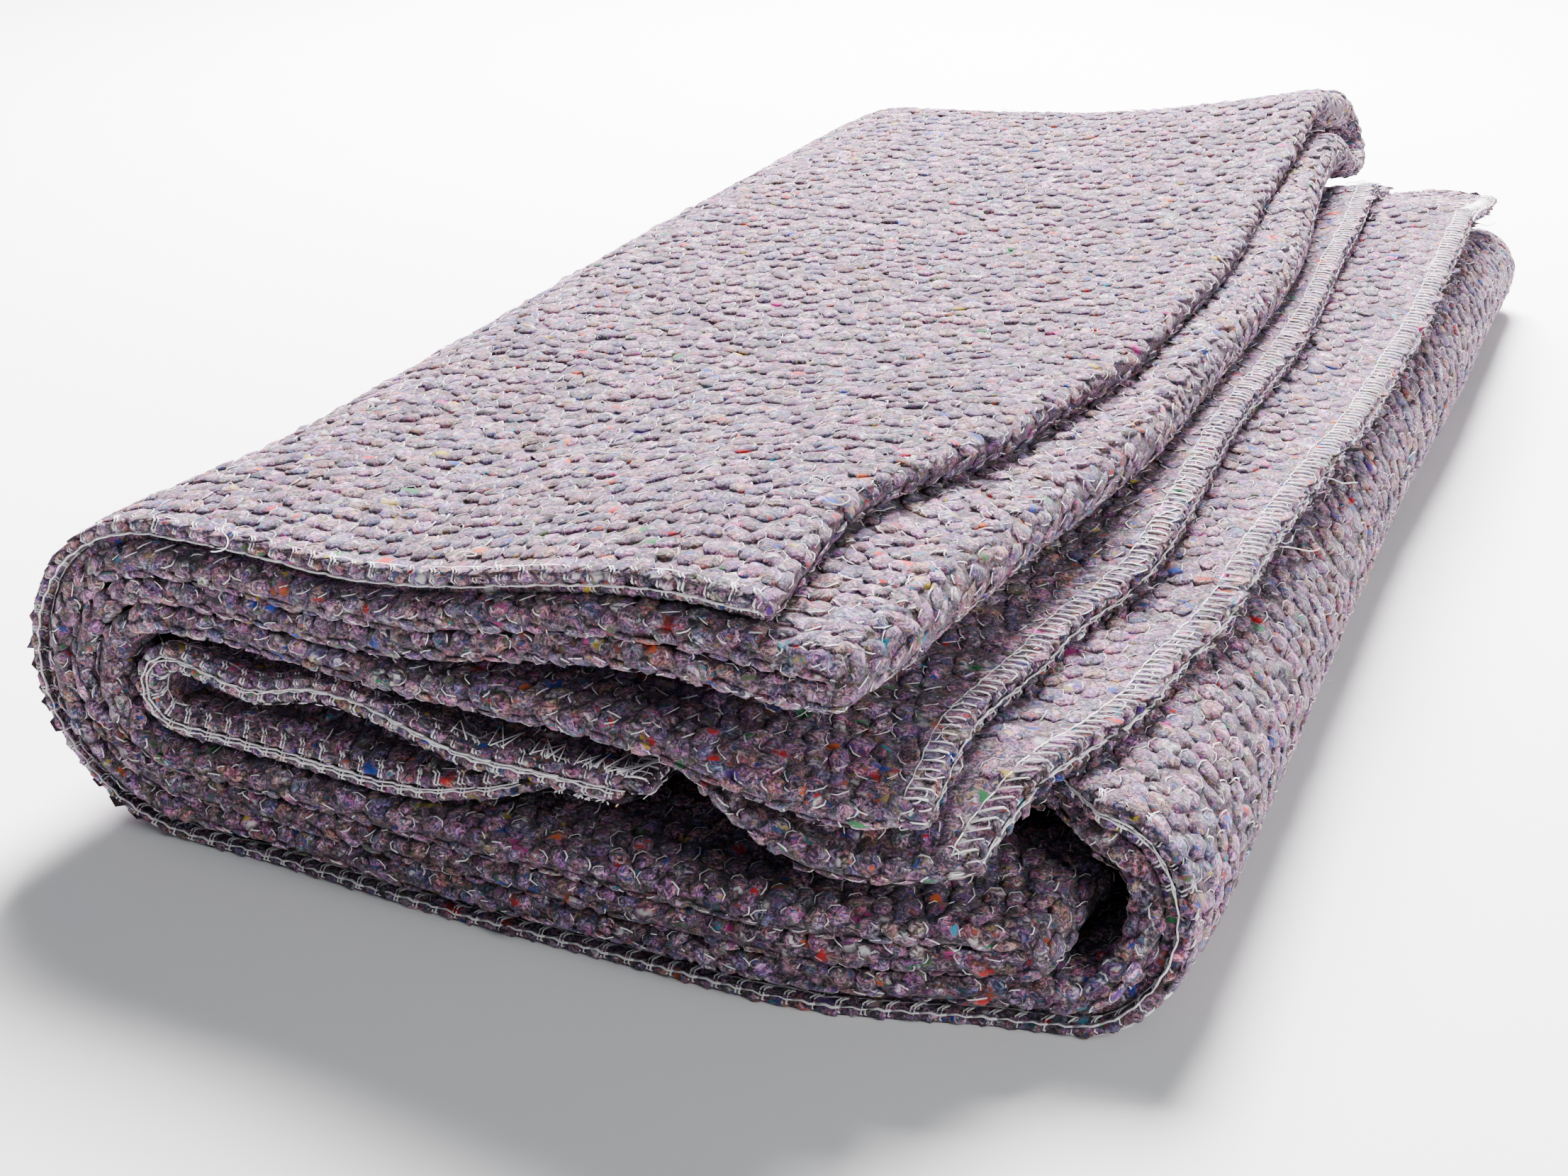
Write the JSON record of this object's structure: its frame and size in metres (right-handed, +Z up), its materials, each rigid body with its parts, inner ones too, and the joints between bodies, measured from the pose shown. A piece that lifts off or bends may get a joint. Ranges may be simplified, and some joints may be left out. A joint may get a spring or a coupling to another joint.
{
  "type": "folded moving pad",
  "caption": "Folded furniture moving pad of thick stitch-bonded felt, its long plies laid back and forth into a flat pack with rounded folds and cut edges showing.",
  "frame": {"origin": "centre of the footprint's bounding box, on the plane that the folded pad rests on", "axes": "+Z up. The long folds run along Y, with the front edges that show in the picture towards -Y. +X is to the right, towards the side with the two hems."},
  "size_m": [0.2227, 0.4656, 0.0768],
  "materials": {
    "recycled_felt": "matt, stitch-bonded recycled fibres"
  },
  "bodies": {
    "root": {"pad_cloth": "recycled_felt"}
  },
  "joints": []
}
